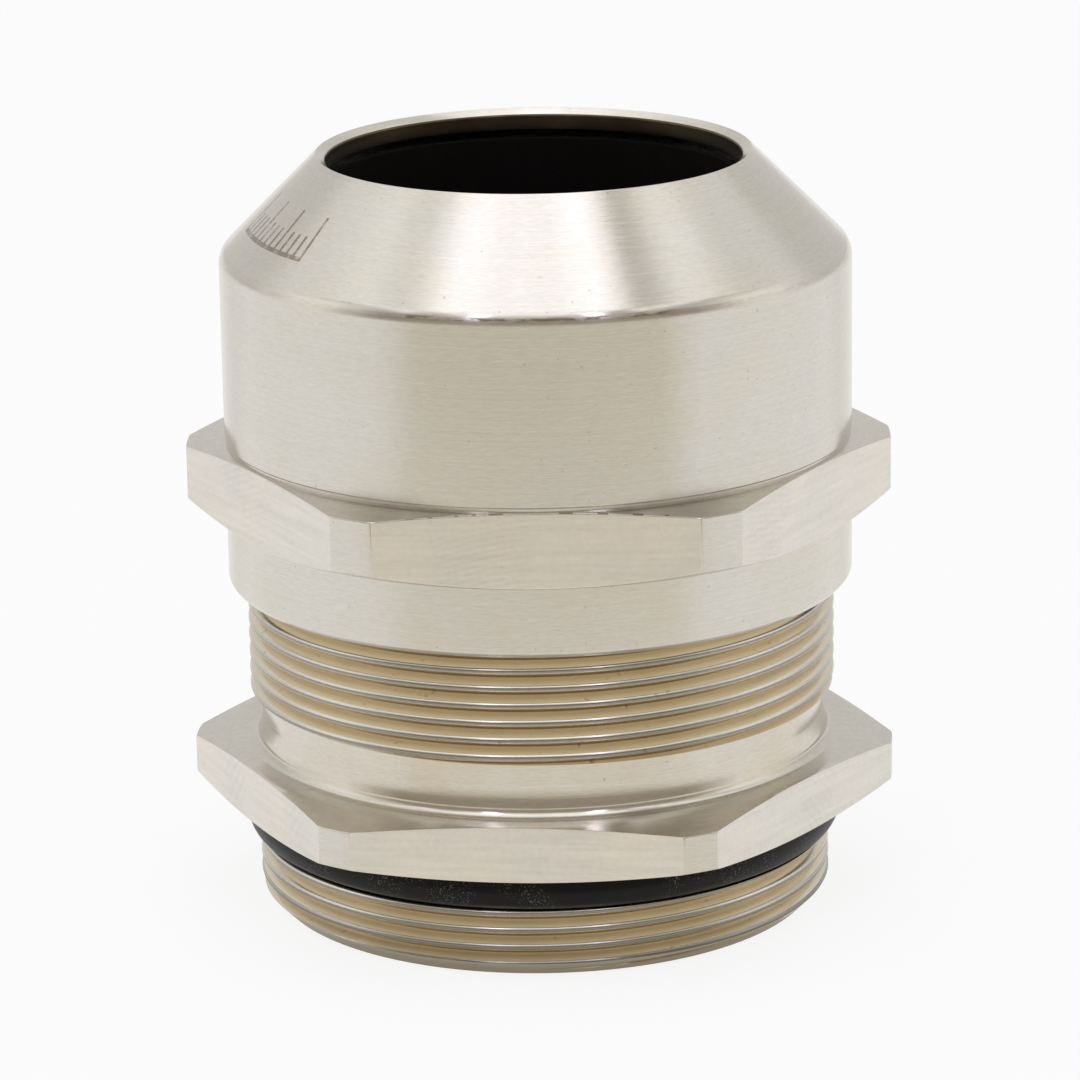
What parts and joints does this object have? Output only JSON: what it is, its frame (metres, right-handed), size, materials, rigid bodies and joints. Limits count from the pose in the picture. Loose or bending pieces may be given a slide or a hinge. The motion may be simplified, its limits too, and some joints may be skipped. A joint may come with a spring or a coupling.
{
  "type": "cable gland",
  "caption": "Nickel-plated metric cable gland with a conical dome nut that screws down and closes a ring of clamping fingers and a rubber sleeve onto the cable.",
  "frame": {"origin": "on the axis, at the end of the connection thread", "axes": "+Z along the axis, out of the cable entry in the dome nut; +X and +Y across the axis"},
  "size_m": [0.0612, 0.0568, 0.0658],
  "materials": {
    "nickel_body": "nickel-plated brass, turned, satin",
    "nickel_nut": "nickel-plated brass, turned and brushed, satin",
    "o_ring_rubber": "black nitrile rubber, satin, dusty",
    "sleeve_rubber": "black elastomer, satin",
    "slip_plastic": "natural acetal",
    "insert_plastic": "black polyamide, moulded"
  },
  "bodies": {
    "gland": {"gland_body": "nickel_body", "connection_o_ring": "o_ring_rubber", "clamp_cage_ring": "insert_plastic", "sealing_sleeve": "sleeve_rubber"},
    "slip": {"slip_ring": "slip_plastic"},
    "nut": {"dome_nut": "nickel_nut"},
    "finger_01": {"clamp_finger_01": "insert_plastic"},
    "finger_02": {"clamp_finger_02": "insert_plastic"},
    "finger_03": {"clamp_finger_03": "insert_plastic"},
    "finger_04": {"clamp_finger_04": "insert_plastic"},
    "finger_05": {"clamp_finger_05": "insert_plastic"},
    "finger_06": {"clamp_finger_06": "insert_plastic"},
    "finger_07": {"clamp_finger_07": "insert_plastic"},
    "finger_08": {"clamp_finger_08": "insert_plastic"},
    "finger_09": {"clamp_finger_09": "insert_plastic"},
    "finger_10": {"clamp_finger_10": "insert_plastic"},
    "finger_11": {"clamp_finger_11": "insert_plastic"},
    "finger_12": {"clamp_finger_12": "insert_plastic"},
    "finger_13": {"clamp_finger_13": "insert_plastic"},
    "finger_14": {"clamp_finger_14": "insert_plastic"},
    "finger_15": {"clamp_finger_15": "insert_plastic"},
    "finger_16": {"clamp_finger_16": "insert_plastic"}
  },
  "joints": [
    {"name": "nut_feed", "type": "slide", "parent": "gland", "child": "slip", "axis": [0, 0, -1], "range_m": [-0.00151, 0.00701], "deforming": ["sealing_sleeve"]},
    {"name": "nut_turn", "type": "hinge", "parent": "slip", "child": "nut", "pos_m": [0, 0, 0.0347], "axis": [0, 0, -1], "range_deg": [-360, 1680]},
    {"name": "finger_01_bend", "type": "hinge", "parent": "gland", "child": "finger_01", "pos_m": [0.0216, 0, 0.0415], "axis": [0, -1, 0], "range_deg": [-3.9, 18.15]},
    {"name": "finger_02_bend", "type": "hinge", "parent": "gland", "child": "finger_02", "pos_m": [0.01996, 0.00827, 0.0415], "axis": [0.3827, -0.9239, 0], "range_deg": [-3.9, 18.15]},
    {"name": "finger_03_bend", "type": "hinge", "parent": "gland", "child": "finger_03", "pos_m": [0.01527, 0.01527, 0.0415], "axis": [0.7071, -0.7071, 0], "range_deg": [-3.9, 18.15]},
    {"name": "finger_04_bend", "type": "hinge", "parent": "gland", "child": "finger_04", "pos_m": [0.00827, 0.01996, 0.0415], "axis": [0.9239, -0.3827, 0], "range_deg": [-3.9, 18.15]},
    {"name": "finger_05_bend", "type": "hinge", "parent": "gland", "child": "finger_05", "pos_m": [0, 0.0216, 0.0415], "axis": [1, 0, 0], "range_deg": [-3.9, 18.15]},
    {"name": "finger_06_bend", "type": "hinge", "parent": "gland", "child": "finger_06", "pos_m": [-0.00827, 0.01996, 0.0415], "axis": [0.9239, 0.3827, 0], "range_deg": [-3.9, 18.15]},
    {"name": "finger_07_bend", "type": "hinge", "parent": "gland", "child": "finger_07", "pos_m": [-0.01527, 0.01527, 0.0415], "axis": [0.7071, 0.7071, 0], "range_deg": [-3.9, 18.15]},
    {"name": "finger_08_bend", "type": "hinge", "parent": "gland", "child": "finger_08", "pos_m": [-0.01996, 0.00827, 0.0415], "axis": [0.3827, 0.9239, 0], "range_deg": [-3.9, 18.15]},
    {"name": "finger_09_bend", "type": "hinge", "parent": "gland", "child": "finger_09", "pos_m": [-0.0216, 0, 0.0415], "axis": [0, 1, 0], "range_deg": [-3.9, 18.15]},
    {"name": "finger_10_bend", "type": "hinge", "parent": "gland", "child": "finger_10", "pos_m": [-0.01996, -0.00827, 0.0415], "axis": [-0.3827, 0.9239, 0], "range_deg": [-3.9, 18.15]},
    {"name": "finger_11_bend", "type": "hinge", "parent": "gland", "child": "finger_11", "pos_m": [-0.01527, -0.01527, 0.0415], "axis": [-0.7071, 0.7071, 0], "range_deg": [-3.9, 18.15]},
    {"name": "finger_12_bend", "type": "hinge", "parent": "gland", "child": "finger_12", "pos_m": [-0.00827, -0.01996, 0.0415], "axis": [-0.9239, 0.3827, 0], "range_deg": [-3.9, 18.15]},
    {"name": "finger_13_bend", "type": "hinge", "parent": "gland", "child": "finger_13", "pos_m": [0, -0.0216, 0.0415], "axis": [-1, 0, 0], "range_deg": [-3.9, 18.15]},
    {"name": "finger_14_bend", "type": "hinge", "parent": "gland", "child": "finger_14", "pos_m": [0.00827, -0.01996, 0.0415], "axis": [-0.9239, -0.3827, 0], "range_deg": [-3.9, 18.15]},
    {"name": "finger_15_bend", "type": "hinge", "parent": "gland", "child": "finger_15", "pos_m": [0.01527, -0.01527, 0.0415], "axis": [-0.7071, -0.7071, 0], "range_deg": [-3.9, 18.15]},
    {"name": "finger_16_bend", "type": "hinge", "parent": "gland", "child": "finger_16", "pos_m": [0.01996, -0.00827, 0.0415], "axis": [-0.3827, -0.9239, 0], "range_deg": [-3.9, 18.15]}
  ],
  "couplings": [
    {"joint": "nut_feed", "follows": "nut_turn", "m_per_rad": 0.00023873},
    {"joint": "finger_01_bend", "follows": "nut_turn", "ratio": 0.010774},
    {"joint": "finger_02_bend", "follows": "nut_turn", "ratio": 0.010774},
    {"joint": "finger_03_bend", "follows": "nut_turn", "ratio": 0.010774},
    {"joint": "finger_04_bend", "follows": "nut_turn", "ratio": 0.010774},
    {"joint": "finger_05_bend", "follows": "nut_turn", "ratio": 0.010774},
    {"joint": "finger_06_bend", "follows": "nut_turn", "ratio": 0.010774},
    {"joint": "finger_07_bend", "follows": "nut_turn", "ratio": 0.010774},
    {"joint": "finger_08_bend", "follows": "nut_turn", "ratio": 0.010774},
    {"joint": "finger_09_bend", "follows": "nut_turn", "ratio": 0.010774},
    {"joint": "finger_10_bend", "follows": "nut_turn", "ratio": 0.010774},
    {"joint": "finger_11_bend", "follows": "nut_turn", "ratio": 0.010774},
    {"joint": "finger_12_bend", "follows": "nut_turn", "ratio": 0.010774},
    {"joint": "finger_13_bend", "follows": "nut_turn", "ratio": 0.010774},
    {"joint": "finger_14_bend", "follows": "nut_turn", "ratio": 0.010774},
    {"joint": "finger_15_bend", "follows": "nut_turn", "ratio": 0.010774},
    {"joint": "finger_16_bend", "follows": "nut_turn", "ratio": 0.010774}
  ]
}
